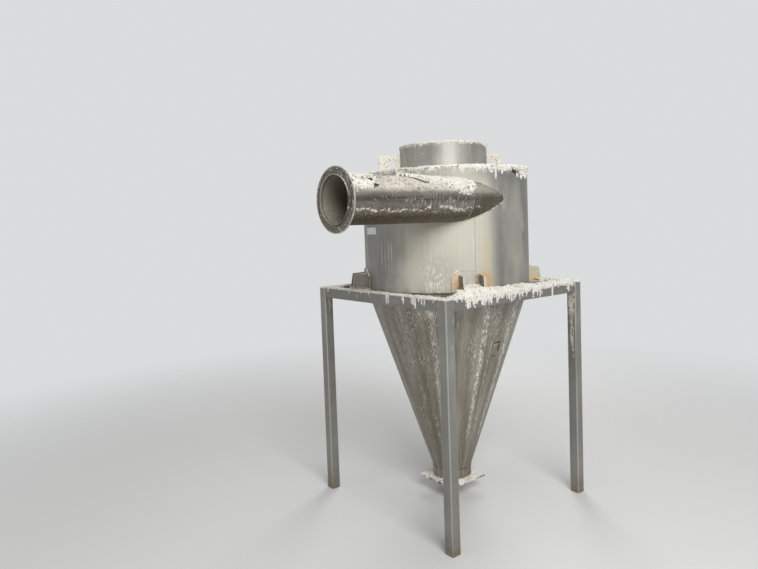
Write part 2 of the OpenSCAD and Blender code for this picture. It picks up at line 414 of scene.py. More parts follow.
def cone_finish():
    f = Finish("cone_streaked_steel")

    def fan(count, stretch, seed, detail=3):
        """Streaks that draw together towards the cone's tip."""
        return f.x.noise(f.round_x * count + seed, f.round_y * count, f.z * stretch, detail)

    wide = fan(5, 1, 2)
    fine = fan(110, 26, 5)
    f.tones((wide * 0.6 + fine * 0.4).step(0.34, 0.7), (122, 116, 105), (170, 165, 153))
    brown = fan(4, 2.5, 12).step(0.45, 0.7) * f.z.step(1.25, 0.5)
    f.paint(brown * 0.45, 116, 101, 84)
    # Thin upright runs and short dashes of residue, thicker high up
    runs = fan(100, 12, 9, 2).step(0.58, 0.67) * fan(14, 3, 14).step(0.42, 0.62)
    dense = fan(8, 3, 18) + f.z.step(0.45, 1.15) * 0.16 + f.turn.bell(20, 34) * 0.12
    dashes = fan(92, 40, 33, 2).step(0.575, 0.65) * dense.step(0.6, 0.72)
    # Places round the cone where the dashes crowd: the turn, the reach and the strength
    crowds = ((75, 4.6, 1.2), (104, 6.5, 1.6), (34, 4, 0.8), (84, 1.4, 0.6), (-60, 4, 1), (170, 4, 1))
    rivers = sum(f.turn.bell(turn, reach) * strength for turn, reach, strength in crowds)
    rivers = rivers.smaller(1) * fan(125, 46, 2, 2).step(0.49, 0.57) * f.z.step(0.3, 0.5)
    patch = f.turn.bell(33.5, 5) * f.z.bell(1.26, 0.035) * f.blotches(60, 7).step(0.4, 0.5)
    film = (runs * 0.35).larger(dashes * 0.85).larger(rivers).larger(patch) * f.z.step(0.2, 0.42)
    f.cover(film)
    # A dark flake where the film has come off
    flake = f.turn.bell(91, 6) * f.z.bell(1.052, 0.012) + f.turn.bell(94, 2) * f.z.bell(1.015, 0.04)
    flake = flake + f.turn.bell(89.5, 3.2) * f.z.bell(0.965, 0.009)
    flake = (flake * f.blotches(60).step(0.25, 0.5)).step(0.15, 0.4)
    f.paint(flake * 0.8, 76, 70, 64)
    seam = f.z.bell(DRUM_Z - 0.002, 0.012)
    f.paint(seam * 0.4, 58, 52, 45)
    return f.close(0.75, 0.42 + wide * 0.14, fine * 0.3 + film)


def pipe_finish():
    f = Finish("inlet_stained_steel")
    rise = f.z - PIPE_Z
    across = f.y - PIPE_Y
    # Degrees round the pipe from its top, the same both ways: 90 at its sides
    tilt = f.x.math("ARCTAN2", abs(across), rise) * (180 / pi)
    outer = across.step(0.02, -0.02)
    inside = ((across * across + rise * rise) ** 0.5).step(PIPE_R - 0.0015, PIPE_R - 0.0025)
    drawn = f.x.noise(f.x * 3, f.y * 90, f.z * 90)
    cloud = f.blotches(12, 1, 4)
    grains = f.blotches(170, 6)
    ragged = (f.blotches(22, 3, 4) - 0.5) * 30
    f.tones((drawn * 0.6 + cloud * 0.5).step(0.35, 0.75), (118, 111, 100), (156, 149, 138))
    # Bands drawn out along the pipe: a dark grey one at its sides, streaky steel that is partly a painted
    # reflection, and brown ones below
    grey_and_painted_reflection = tilt.bell(90, 20) * drawn.step(0.22, 0.5) * (1 - f.x.step(-0.1, 0.1) * 0.3)
    f.paint(grey_and_painted_reflection * 0.9, 68, 67, 62)
    f.paint(tilt.step(98, 112) * 0.8, 108, 98, 84)
    f.paint(tilt.step(118, 138) * 0.9, 64, 55, 42)
    sand = tilt.step(92, 110) * (1 - inside)
    f.paint(grains.step(0.48, 0.6) * sand * 0.55, 140, 130, 114)
    f.paint(grains.step(0.48, 0.38) * sand * 0.45, 62, 53, 42)
    # The stub between the joint and the drum: painted shade below and a painted highlight above
    stub_light_and_shade = f.x.step(JOINT_X - 0.004, JOINT_X + 0.004) * 0.7
    f.paint(stub_light_and_shade * tilt.step(76, 90), 84, 77, 65)
    f.paint(stub_light_and_shade * tilt.step(80, 64), 184, 178, 167)
    # Beige granular film over the top, and specks that draw into a jagged band below
    before = 1 - f.x.step(-0.06, -0.02)
    top = (tilt + ragged * 0.5 + (grains - 0.5) * 24).step(76, 62) * before
    band = (tilt + ragged * 1.1 + (cloud - 0.5) * 24).bell(116, 5.2) * f.x.step(0.1, -0.02)
    band = band * f.blotches(100, 2).step(0.46, 0.55) * f.blotches(17, 4, 2).step(0.34, 0.46)
    pepper = grains.step(0.57, 0.64) * f.blotches(9, 5).step(0.38, 0.56) * tilt.step(142, 120)
    upright = f.x.noise(f.x * 120, f.y * 30, f.z * 30).step(0.52, 0.63)
    flecks = upright * tilt.bell(98, 32) * f.x.step(-0.64, -0.36) * before
    film = (top * 0.9).larger(band).larger(pepper * 0.55).larger(flecks * 0.62) * (1 - inside)
    # The bore: dirty, with painted shade that deepens far inside, a thin painted shadow line near its
    # mouth, and some dust below
    f.paint(inside * 0.85, 150, 141, 127)
    f.paint(inside * f.x.step(MOUTH_X + 0.06, MOUTH_X + 0.5) * 0.85, 36, 32, 28)
    f.paint(inside * f.x.bell(MOUTH_X + 0.012, 0.009) * 0.7, 48, 43, 38)
    dusty = grains.step(0.56, 0.64) * tilt.step(70, 130) * f.x.step(MOUTH_X + 0.4, MOUTH_X + 0.1)
    film = film.larger(inside * dusty)
    f.cover(film, (206, 200, 188), (134, 126, 112), 0.8)
    f.paint(band * 0.6 * (1 - inside), *CHALK)
    # A painted shadow under the lifted edge of the thick sheet, and the two black spots
    edge = tilt * 0.00305 - 0.475
    lifted_edge_shadow = (f.x - edge + (f.blotches(40, 8, 2) - 0.5) * 0.02).bell(-0.015, 0.025)
    lifted_edge_shadow = lifted_edge_shadow.step(0.02, 0.3) * tilt.step(0, 6) * tilt.step(51, 46)
    spots = sum(f.x.bell(x, far) * tilt.bell(angle, wide) for x, angle, _, far, wide in BARE_SPOTS)
    black = (spots + (f.blotches(80, 2) - 0.5) * 1.5).step(0.3, 0.45) * spots.step(0.02, 0.1)
    f.paint(black.larger(lifted_edge_shadow) * outer * 0.96, 32, 28, 25)
    rough = 0.34 + cloud * 0.16 + inside * 0.3
    return f.close(0.78 * (1 - inside * 0.7), rough, drawn * 0.2 + film * 0.9 + grains * 0.2)


def stand_finish():
    f = Finish("stand_tube_steel")
    mill = f.streaks(80, 70, 3)
    cloud = f.blotches(4, 6, 4)
    f.tones((mill * 0.35 + cloud * 0.7).step(0.36, 0.74), (132, 130, 125), (152, 150, 144))
    # The rails are duller than the legs
    rail = abs(f.side).smaller(abs(f.y)).step(LEG_OUT - LEG_W, LEG_OUT - LEG_W - 0.002)
    f.paint(rail * 0.35, 108, 106, 100)
    # Painted highlights down the legs' edges, broken up in streaks
    half = LEG_W / 2
    across, along = (abs(abs(place) - (LEG_OUT - half)) for place in (f.side, f.y))
    painted_edge_highlight = across.smaller(along).step(half - 0.0085, half - 0.0045) * (1 - rail)
    painted_edge_highlight = painted_edge_highlight * f.streaks(30, 14, 8).step(0.22, 0.45)
    f.paint(painted_edge_highlight * 0.7, 178, 174, 166)
    # Residue at the legs' tops, a few dabs, and dirt splashed up from the ground
    ragged = (f.streaks(60, 3, 1) - 0.5) * 0.016
    top = (STAND_TOP - f.z + ragged).step(0.005, 0.002)
    dabs = f.streaks(75, 4, 17).step(0.67, 0.73) * f.z.step(0.85, 1.3)
    film = top.larger(dabs) * 0.8
    f.cover(film)
    foot = f.z.step(0.16, 0) * f.blotches(24, 2).step(0.25, 0.6)
    f.paint(foot * 0.6, 116, 98, 74)
    rough = 0.44 + cloud * 0.12 - painted_edge_highlight * 0.12
    return f.close(0.6, rough, mill * 0.2 + film * 0.9, 0.25)


def plate_finish():
    f = Finish("flange_mottled_steel")
    mottle = f.blotches(26, 2, 4)
    f.tones(mottle.step(0.36, 0.66), (84, 78, 69), (120, 115, 105))
    # The ring's rim is lighter, and the low square plate is caked
    rise = f.z - PIPE_Z
    across = f.y - PIPE_Y
    reach = (across * across + rise * rise) ** 0.5
    rim = reach.step(RING_R - 0.007, RING_R - 0.002) * f.x.step(0, -0.3)
    f.paint(rim * 0.75, 196, 192, 182)
    spots = f.blotches(60, 7).step(0.55, 0.64) * 0.45
    caked = f.z.step(0.5, 0.3) * f.blotches(30, 9).step(0.4, 0.54)
    film = (spots + caked).smaller(1)
    f.cover(film)
    return f.close(0.6, 0.45 + mottle * 0.2, f.blotches(150, 5) * 0.4 + film * 0.8, 0.4)


def bracket_finish():
    f = Finish("bracket_rusted_steel")
    # Places in the frame of the nearest bracket: outwards from the drum's axis, sideways and up
    quarter = 90
    ahead = f.turn - (FRONT_BRACKET - 180) + (360 + quarter / 2)
    apart = (ahead.math("FLOORED_MODULO", ahead, quarter) - quarter / 2) * (pi / 180)
    out = f.radius * apart.math("COSINE", apart)
    sideways = f.radius * apart.math("SINE", apart)
    up = f.z - PAD_Z
    low = f.z.step(2, 1.9)
    mottle = f.blotches(20, 2, 4)
    drawn = f.streaks(45, 8, 6)
    f.tones((mottle * 0.6 + drawn * 0.4).step(0.38, 0.64), (152, 148, 138), (184, 181, 171))
    face = DRUM_R + PAD_T
    on_pad = f.radius.step(face + 0.0012, face + 0.0002)
    # Tan rust on the pads' margins and at the gussets' feet
    margin = on_pad * sideways.step(-GUSSET_HALF_GAP + 0.004, -GUSSET_HALF_GAP - 0.006)
    margin = margin.larger(on_pad * sideways.bell(GUSSET_HALF_GAP - 0.012, 0.014) * 0.7)
    feet = up.step(0.045, 0) * f.blotches(30, 4).step(0.36, 0.56)
    rust = (margin * f.streaks(24, 3, 3).step(0.18, 0.5)).larger(feet * 0.55) * low
    # Rustiest on the front bracket, pale with a little tan on the right one, grey on the others
    front, right = (f.turn.bell(turn, 30).step(0, 0.6) for turn in (60, 150))
    rust = rust * (front + right * 0.45 + 0.1).smaller(1)
    f.paint(right * on_pad * 0.7, 206, 204, 186)
    f.paint(front * on_pad * 0.6, 198, 194, 182)
    f.paint(rust * 0.9, 208, 182, 148)
    dark = f.blotches(50, 4).step(0.56, 0.68) * rust
    f.paint(dark * 0.55, 134, 92, 58)
    ochre = on_pad * sideways.step(GUSSET_HALF_GAP, GUSSET_HALF_GAP + 0.012) * front
    f.paint(ochre * drawn.step(0.25, 0.55) * 0.9, 204, 178, 130)
    scab = on_pad * sideways.bell(GUSSET_HALF_GAP - 0.02, 0.014) * up.bell(0.062, 0.045) * front
    f.paint(scab * f.blotches(45, 8).step(0.3, 0.46) * 0.85, 92, 72, 54)
    # The gussets get painted shade, dull and brown, and a painted highlight along their sawn edge
    gusset = f.radius.step(face + 0.001, face + 0.004) * f.z.step(PAD_Z - 0.001, PAD_Z + 0.001) * low
    gusset_shade_tone = drawn.step(0.35, 0.65).blend(colour(98, 90, 80), colour(142, 134, 122))
    f.base = (gusset * 0.75).blend(f.base, gusset_shade_tone)
    f.paint(gusset * (1 - front) * 0.7, 116, 114, 109)
    f.paint(gusset * right * 0.8, 196, 190, 168)
    tan = gusset * right * up.step(0.05, 0.01) * f.blotches(25, 5).step(0.35, 0.55)
    f.paint(tan * 0.7, 206, 172, 120)
    toe = BASE_OUT - 0.004
    crown = GUSSET_H - GUSSET_FALL
    slope = (GUSSET_TOP - (toe - DRUM_R)) / crown
    sawn_edge_highlight = (out - toe - up * slope).step(-0.0022, -0.0006)
    sawn_edge_highlight = sawn_edge_highlight.larger(up.step(crown - 0.0005, crown + 0.0015)) * gusset
    f.paint(sawn_edge_highlight * 0.75, 190, 183, 168)
    # The lifting lugs up on the roof are coated
    coat = f.blotches(40, 6, 4).step(0.26, 0.4) * f.z.step(2, 2.1)
    film = coat.larger(f.blotches(120, 9).step(0.6, 0.66) * 0.5)
    f.cover(film, (222, 218, 206), (192, 186, 172))
    return f.close(0.55, 0.46 + mottle * 0.2, f.blotches(120, 1) * 0.5 + film, reach=0.003)


def weld_finish(name, dark, light, coated):
    f = Finish(name)
    mottle = f.blotches(30, 4)
    f.tones(mottle.step(0.35, 0.65), dark, light)
    f.cover(f.blotches(42, 7, 4).step(0.55, 0.66) * coated)
    return f.close(0.6, 0.4 + mottle * 0.2, f.blotches(220, 3, 2), 0.4)


def sticker_finish():
    f = Finish("sticker_blank_white")
    scuffs = f.blotches(60, 3, 4).step(0.52, 0.68) * 0.5
    f.tones(scuffs, (232, 233, 232), (176, 176, 174))
    return f.close(0, 0.45 + scuffs * 0.3, scuffs, 0.1)


RESIDUE = residue_finish("dried_residue", CHALK, CHALK_DIRTY, 0.62)
PITTED = residue_finish("pitted_residue", (229, 226, 217), CHALK_DIRTY, 0.95)
SMEAR = residue_finish("thin_residue", (206, 201, 189), (140, 133, 120), 0.5)
WELD = weld_finish("weld_bead_steel", (128, 122, 111), (184, 181, 172), 0.8)
RUSTY_WELD = weld_finish("weld_bead_rusty", (150, 122, 92), (200, 184, 156), 0.25)
DULL_WELD = weld_finish("weld_bead_dull", (74, 68, 60), (124, 118, 107), 0.2)
STEELS = {
    "drum_steel": drum_finish(),
    "outlet_steel": collar_finish(),
    "cone_steel": cone_finish(),
    "inlet_steel": pipe_finish(),
    "stand_steel": stand_finish(),
    "plate_steel": plate_finish(),
    "bracket_steel": bracket_finish(),
}
for row in frame["record"]["subparts"]:
    NODES[row["node"]].material_slots[0].material = STEELS[row["material_slot"]]


# Weld beads, with points at about this distance along them
PITCH = 0.005


def bead(points, radius, closed=False):
    """A rippled weld bead along points, as a curve made into a mesh."""
    line = bpy.data.curves.new("bead", "CURVE")
    line.dimensions = "3D"
    line.bevel_depth = radius
    line.bevel_resolution = 1
    line.use_fill_caps = True
    run = line.splines.new("POLY")
    run.points.add(len(points) - 1)
    run.use_cyclic_u = closed
    for i, (knot, place) in enumerate(zip(run.points, points)):
        knot.co = (*place, 1)
        knot.radius = 1 + 0.16 * sin(i * 2.1) + 0.12 * lumps(place, 0.02, 3)
    activate(added("bead", line))
    bpy.ops.object.convert(target="MESH")
    bpy.ops.object.shade_smooth()
    return bpy.context.object


def ring_bead(radius, z, thick):
    count = round(2 * pi * radius / PITCH)
    return bead([on_drum(2 * pi * i / count, radius, z) for i in range(count)], thick, True)


def line_points(start, end):
    start, end = Vector(start), Vector(end)
    count = max(2, round((end - start).length / PITCH))
    return [start.lerp(end, i / count) for i in range(count + 1)]


def straight_bead(start, end, thick):
    return bead(line_points(start, end), thick)


def join(name, parts, finish):
    deselect()
    for part in parts:
        part.select_set(True)
    bpy.context.view_layer.objects.active = parts[0]
    if len(parts) > 1:
        bpy.ops.object.join()
    keep(bpy.context.object, name, finish)


def drum_welds():
    """Rings round the drum's axis, each with its radius, height, thickness and finish."""
    rings = {
        "roof_weld": (DRUM_R - 0.001, ROOF_TOP - 0.002, 0.0035, WELD),
        "cone_weld": (DRUM_R, DRUM_Z, 0.0035, DULL_WELD),
        "collar_weld": (COLLAR_R + 0.001, ROOF_TOP + 0.001, 0.0045, WELD),
        "neck_weld": (NECK_R, CONE_FOOT, 0.003, DULL_WELD),
        "plate_weld": (NECK_R + 0.001, PLATE_HIGH[2] + 0.001, 0.004, WELD),
    }
    for name, (radius, z, thick, finish) in rings.items():
        join(name, [ring_bead(radius, z, thick)], finish)


def pipe_point(tilt, x, radius):
    """A point round the inlet pipe: tilt 0 is its top and 90 degrees its -Y side."""
    return Vector((x, PIPE_Y - radius * sin(tilt), PIPE_Z + radius * cos(tilt)))


def inlet_welds():
    count = 170
    turns = [2 * pi * i / count for i in range(count)]
    seat = [pipe_point(tilt, 0, PIPE_R + 0.0008) for tilt in turns]
    for place in seat:
        place.x = AXIS_X - sqrt(DRUM_R**2 - place.y**2) - 0.001
    join("inlet_seat_weld", [bead(seat, 0.0028, True)], WELD)
    girth = [pipe_point(tilt, JOINT_X, PIPE_R) for tilt in turns]
    join("inlet_girth_weld", [bead(girth, 0.0018, True)], WELD)
    rings = []
    for x in (RING_LOW[0] - 0.0005, RING_HIGH[0] + 0.0005):
        rings.append(bead([pipe_point(tilt, x, PIPE_R + 0.0015) for tilt in turns], 0.0026, True))
    join("ring_flange_weld", rings, DULL_WELD)


def on_bracket(side, out, sideways, z):
    """A point in the frame of one bracket: outwards, sideways and up."""
    turn = radians(FRONT_BRACKET + 90 * side)
    return Vector((
        AXIS_X + out * cos(turn) - sideways * sin(turn),
        out * sin(turn) + sideways * cos(turn),
        z,
    ))


def bracket_welds():
    """Beads round each pad and down the roots of its gussets."""
    right = [(BRACKET_HALF - PAD_CUT, PAD_H), (BRACKET_HALF, PAD_H - PAD_CUT), (BRACKET_HALF, 0)]
    outline = [(-sideways, up) for sideways, up in reversed(right)] + right
    for side, word in enumerate(BRACKETS):
        beads = []
        for start, end in zip(outline, outline[1:]):
            run = []
            for spot in line_points((*start, 0), (*end, 0)):
                out = sqrt((DRUM_R + 0.002) ** 2 - spot.x**2)
                run.append(on_bracket(side, out, spot.x, PAD_Z + spot.y))
            beads.append(bead(run, 0.0026))
        for way in (-1, 1):
            for face in (-1, 1):
                sideways = way * GUSSET_HALF_GAP + face * (GUSSET_T / 2 + 0.0005)
                out = sqrt((DRUM_R + PAD_T + 0.001) ** 2 - sideways**2)
                root, top, foot, toe = (
                    on_bracket(side, reach, sideways, PAD_Z + up)
                    for reach, up in ((out, 0), (out, GUSSET_H), (out, 0.0008), (BASE_OUT - 0.006, 0.0008))
                )
                beads += [straight_bead(root, top, 0.003), straight_bead(foot, toe, 0.0028)]
        join("bracket_welds_" + word, beads, RUSTY_WELD)


def stand_welds():
    """Beads where the rails' upright and flat legs meet the leg tubes."""
    beads = []
    face = -RAIL_OUT - 0.0003
    corners = ((face, STAND_TOP - RAIL_H), (face, STAND_TOP - 0.001), (-RAIL_OUT + RAIL_W, STAND_TOP))
    for turn in range(4):
        around = Matrix.Rotation(radians(90 * turn), 3, "Z")
        for end in (-RAIL_LEN / 2, RAIL_LEN / 2):
            low, high, inner = (CENTRE + around @ Vector((end, y, z)) for y, z in corners)
            beads += [straight_bead(low, high, 0.0019), straight_bead(high, inner, 0.0022)]
    join("stand_welds", beads, WELD)


def lug_welds():
    beads = []
    root = COLLAR_R + 0.001
    for name in ("lug_right", "lug_left"):
        low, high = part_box(name)
        turn = atan2((low[1] + high[1]) / 2, (low[0] + high[0]) / 2 - AXIS_X)
        reach = max(hypot(x - AXIS_X, y) for x in (low[0], high[0]) for y in (low[1], high[1]))
        for way in (-1, 1):
            shift = Vector((-sin(turn), cos(turn), 0)) * (way * 0.0068)
            near, far, tall = (
                on_drum(turn, radius, z) + shift
                for radius, z in ((root, ROOF_TOP), (reach - 0.012, ROOF_TOP), (root, high[2] - 0.004))
            )
            beads += [straight_bead(near, far, 0.0036), straight_bead(near, tall, 0.003)]
    join("lug_welds", beads, WELD)


def seam_welds():
    """Upright seams of the rolled sheets, ground nearly flush."""
    drum = DRUM_R + 0.0002
    collar = COLLAR_R - 0.0008
    seams = (
        (64, (drum, DRUM_Z + 0.004), (drum, ROOF_Z), 0.002),
        (77, (NECK_R - 0.0003, CONE_FOOT), (DRUM_R - 0.001, DRUM_Z - 0.004), 0.002),
        (194.2, (collar, ROOF_TOP), (collar, COLLAR_TOP - 0.002), 0.0018),
    )
    beads = []
    for angle, low, high, thick in seams:
        turn = radians(angle)
        beads.append(straight_bead(on_drum(turn, *low), on_drum(turn, *high), thick))
    join("sheet_seams", beads, WELD)


drum_welds()
inlet_welds()
bracket_welds()
stand_welds()
lug_welds()
seam_welds()


# The blank sticker on the drum's left side
def sticker():
    middle, half = radians(166), radians(7.5)
    low, high = 1.737, 1.78
    deselect()
    bpy.ops.mesh.primitive_grid_add(x_subdivisions=24, y_subdivisions=6, size=2)
    piece = bpy.context.object
    for vertex in piece.data.vertices:
        turn = middle + half * vertex.co.x
        vertex.co = on_drum(turn, DRUM_R + 0.0009, low + (high - low) * (vertex.co.y + 1) / 2)
    shell = piece.modifiers.new("body", "SOLIDIFY")
    shell.thickness = 0.0008
    shell.offset = 0
    rounding = piece.modifiers.new("corners", "BEVEL")
    rounding.width = 0.0002
    apply_all(piece)
    keep(piece, "blank_sticker", sticker_finish())


# Dried residue
def crust(name, length, width, cell, lay, finish=RESIDUE, body=0.0012):
    """Residue as a grid laid on the steel. lay(along, across) gives a point on the steel,
    its outward direction and the residue's thickness there, below 0 where there is none."""
    deselect()
    bpy.ops.mesh.primitive_grid_add(
        x_subdivisions=round(length / cell), y_subdivisions=round(width / cell), size=1
    )
    piece = bpy.context.object
    mesh = piece.data
    bare = []
    for vertex in mesh.vertices:
        spot, out, thick = lay((vertex.co.x + 0.5) * length, (vertex.co.y + 0.5) * width)
        bare.append(thick <= 0)
        vertex.co = spot + out * max(thick, -body / 2)
    for part in (mesh.vertices, mesh.edges):
        part.foreach_set("select", [False] * len(part))
    mesh.polygons.foreach_set("select", [all(bare[v] for v in f.vertices) for f in mesh.polygons])
    bpy.context.tool_settings.mesh_select_mode = (False, False, True)
    bpy.ops.object.mode_set(mode="EDIT")
    bpy.ops.mesh.delete(type="FACE")
    bpy.ops.mesh.select_all(action="SELECT")
    bpy.ops.mesh.remove_doubles(threshold=0.0002)
    bpy.ops.object.mode_set(mode="OBJECT")
    shell = piece.modifiers.new("body", "SOLIDIFY")
    shell.thickness = body
    shell.offset = -1
    apply_all(piece)
    for vertex in piece.data.vertices:
        vertex.co = [min(max(c, low), high) for c, low, high in zip(vertex.co, *cad_bounds)]
    bpy.ops.object.shade_smooth_by_angle(angle=radians(38))
    keep(piece, name, finish)


def crumble(spot, size):
    """Lumps on lumps, about -1 to 1."""
    return 0.55 * lumps(spot, size, 1) + 0.3 * lumps(spot, size / 2.3, 2) + 0.25 * lumps(spot, size / 5, 3)


def crumbs(spot, size):
    """1 on a crumb and 0 in the crack beside it."""
    near = noise.voronoi(Vector(spot) / size)[0]
    return smooth(0.02, 0.4, near[1] - near[0])


# Runs of residue down an edge are rows of (place along it, length, half width)
def chance(seed, count, start, end, short, far):
    """Runs by fixed chance, from start to end and short to far."""
    dice = random.Random(seed)
    return [
        (
            dice.uniform(start, end),
            short + (far - short) * dice.random() ** 1.8,
            0.0018 + 0.0045 * dice.random() ** 2,
        )
        for _ in range(count)
    ]


def measured(start, *rows):
    """Runs with their places counted from start, given in millimetres."""
    return [(start + place / 1000, far / 1000, half / 1000) for place, far, half in rows]


class Edge:
    """An edge that residue ran down from: a ragged cover and single runs below it."""

    # Runs are sorted by their places into shelves of this width
    SHELF = 0.02

    def __init__(self, cover, runs, seed):
        self.cover = cover
        self.seed = seed
        self.shelves = {}
        for run in runs:
            place, _, half = run
            for shelf in {int(spot / self.SHELF) for spot in (place - half, place, place + half)}:
                self.shelves.setdefault(shelf, []).append(run)

    def inside(self, along, down):
        """How far inside the residue's outline a place lies, below 0 outside."""
        jag = 0.5 * lumps((along, self.seed, 0), 0.045, 4)
        jag += 1.3 * abs(lumps((along, self.seed, 1), 0.013, 5))
        jag += 0.4 * lumps((along, self.seed, 2), 0.006, 6)
        best = self.cover(along) * (0.5 + 0.8 * max(0, jag + 0.3)) - down
        for place, far, half in self.shelves.get(int(along / self.SHELF), ()):
            if down < far:
                taper = half * (1.25 - 0.55 * down / far)
                near_tip = min(1, (far - down) / half)
                best = max(best, taper * sqrt(near_tip) - abs(along - place))
        return best


# How far the heap on a rail reaches inwards, and half the width of a crust's bend
BRIDGE = 0.075
EDGE = 0.005


def rail_crust(word, turn, height, edge, bald=1.0, reach=0.17, cell=0.0036):
    """Residue on one rail: a heap on its top, which bridges the gap to the drum where that
    is narrow or a bracket's base plate carries it, and runs down its outer face."""
    around = Matrix.Rotation(radians(turn), 3, "Z")
    inner = RAIL_OUT - RAIL_W
    facing = radians(FRONT_BRACKET)
    bracket = Vector((cos(facing), sin(facing), 0))

    def lay(along, across):
        x = along - LEG_OUT
        down = across - BRIDGE - RAIL_W
        flat = Vector((x, -RAIL_OUT - min(0, down), STAND_TOP - max(0, down)))
        if down < 0 and abs(x) < DRUM_R:
            flat.y = min(flat.y, 0.0015 - sqrt(DRUM_R**2 - x * x))
        bend = smooth(-EDGE, EDGE, down)
        lean = bend * pi / 2
        out = Vector((0, -sin(lean), cos(lean)))
        place = around @ flat + CENTRE
        grain = crumble(place, 0.03)
        crumb = crumbs(place, 0.012)
        if down > 0:
            inside = edge.inside(along, down)
            if inside < 0.016 and lumps(place, 0.01, 51) > 0.26 and down > 0.006:
                inside = -1
            thick = 0.001 + 0.0014 * crumb + 0.0004 * grain
            thick *= min(1, inside / 0.002)
            if abs(x) > RAIL_LEN / 2 - 0.0015:
                thick = -1
        else:
            deep = smooth(0, -0.045, down)
            radial = flat.x * bracket.x + flat.y * bracket.y
            sideways = flat.y * bracket.x - flat.x * bracket.y
            on_plate = DRUM_R - 0.01 < radial < BASE_OUT and abs(sideways) < BRACKET_HALF
            gap = flat.y > -inner + 0.001
            tall = height(along)
            thick = tall * (0.35 + 0.65 * deep) * (1 + 0.6 * grain) + 0.0022 * crumb - 0.0006
            if on_plate:
                thick = max(thick, BASE_T + tall * 0.5 * (1 + grain) - 0.004)
                if turn == 0 and abs(sideways) < GUSSET_HALF_GAP - 0.004:
                    pile = 0.02 + 0.028 * smooth(0.09, 0, radial - DRUM_R)
                    thick = max(thick, pile * (1 + 0.12 * grain))
                if sideways < -GUSSET_HALF_GAP:
                    thick = min(thick, BASE_T + 0.02 * smooth(0.03, 0.055, radial - DRUM_R) - 0.003)
            hole = lumps(place, 0.05, 8) + 0.5 * lumps(place, 0.016, 9)
            if hole > bald or (gap and not (abs(x) < reach or on_plate)) or tall <= 0:
                thick = -1
            if abs(x) > RAIL_LEN / 2:
                thick *= smooth(0.001, 0.01, LEG_OUT - abs(x))
                if abs(x) > LEG_OUT - 0.001:
                    thick = -1
            if thick > 0:
                thick += (0.0019 - thick) * bend
                thick = min(thick, 0.0026 / max(0.05, sin(lean)))
        return place, around @ out, thick

    crust("residue_rail_" + word, 2 * LEG_OUT, BRIDGE + RAIL_W + RAIL_H, cell, lay)


def rails_residue():
    runs = measured(
        0, (88, 26, 2), (126, 30, 3), (156, 44, 3), (175, 71, 4), (168, 60, 3), (226, 62, 5),
        (213, 50, 3), (306, 58, 4), (356, 50, 4), (407, 52, 4), (536, 63, 4), (552, 54, 3),
        (797, 50, 4), (815, 46, 3), (921, 66, 6), (1075, 40, 4), (1092, 52, 7),
    )
    runs += chance(11, 62, 0.16, 0.8, 0.02, 0.06) + chance(12, 34, 0.15, 1.17, 0.014, 0.044)
    front = Edge(
        lambda a: 0.006 + 0.014 * smooth(0.12, 0.2, a) - 0.005 * smooth(0.56, 0.66, a)
        - 0.006 * smooth(0.82, 0.95, a) + 0.008 * smooth(1.06, 1.12, a),
        runs,
        0,
    )
    rail_crust(
        "front",
        0,
        lambda a: 0.004 + 0.012 * smooth(0.06, 0.16, a) + hump(a, 0.3, 0.2, 0.024)
        + hump(a, 0.62, 0.34, 0.008),
        front,
        cell=0.0034,
    )
    runs = measured(
        0, (345, 20, 4), (470, 17, 3), (549, 15, 3), (722, 60, 4), (738, 50, 3.5), (730, 24, 8),
        (874, 44, 4), (866, 26, 5), (946, 36, 5), (957, 44, 3), (975, 62, 5), (967, 40, 5),
        (1005, 22, 6), (1030, 34, 4), (1052, 44, 3.5), (1122, 18, 4), (60, 40, 4), (100, 22, 5),
    )
    left = Edge(lambda a: 0.0012 + 0.003 * smooth(0.9, 0.97, a), runs, 1)
    rail_crust(
        "left",
        270,
        lambda a: 0.0016 + hump(a, 0.08, 0.14, 0.006) + hump(a, 1.0, 0.3, 0.002),
        left,
        bald=0.3,
        reach=0,
    )
    right = Edge(lambda a: 0.014, chance(13, 60, 0.02, 1.18, 0.014, 0.05), 2)
    rail_crust("right", 90, lambda a: 0.011 + hump(a, 0.35, 0.35, 0.008), right, reach=0.1)
    back = Edge(lambda a: 0.006, chance(14, 30, 0.02, 1.18, 0.01, 0.05), 3)
    rail_crust("back", 180, lambda a: 0.006 + hump(a, 0.35, 0.3, 0.006), back, bald=0.45, reach=0.05)


def leg_smears():
    """Thin residue that ran down the legs' inner sides from the rails' ends."""
    width = 0.052
    most = 0.0016
    inner = LEG_OUT - LEG_W
    legs = {
        "front_left": (-1, -1, 0.2),
        "front_right": (1, -1, 0.5),
        "back_left": (-1, 1, 0.3),
        "back_right": (1, 1, 0.36),
    }
    for word, (way_x, way_y, reach) in legs.items():
        for index, length in enumerate((reach, reach * 0.7)):
            start = CENTRE + Vector((way_x * inner, way_y * inner, STAND_TOP - 0.008))
            aside, out = Vector((0, way_y, 0)), Vector((-way_x, 0, 0))
            if index == 1:
                aside, out = Vector((way_x, 0, 0)), Vector((0, -way_y, 0))
            start += aside * 0.006
            # Laid the other way where the grid's normals would face into the leg
            turned = aside.cross(out).z > 0

            def lay(along, across):
                sideways = width - across if turned else across
                place = start + aside * sideways - UP * along
                fade = 1 - along / length
                stripes = lumps((place.x * 3, place.y * 3, place.z * 0.35), 0.03, 31)
                flecks = lumps((place.x, place.y, place.z * 0.4), 0.009, 32)
                middle = 0.014 + 0.026 * along / length
                body = smooth(0.024, 0.004, abs(sideways - middle))
                thick = most * (0.9 * fade + 0.45 * stripes + 0.4 * flecks - 0.72 + 0.55 * body)
                return place, out, min(most, thick) if thick > 0.0001 else -1

            crust(f"residue_leg_{word}_{index}", length, width, 0.0036, lay, SMEAR, 0.0008)


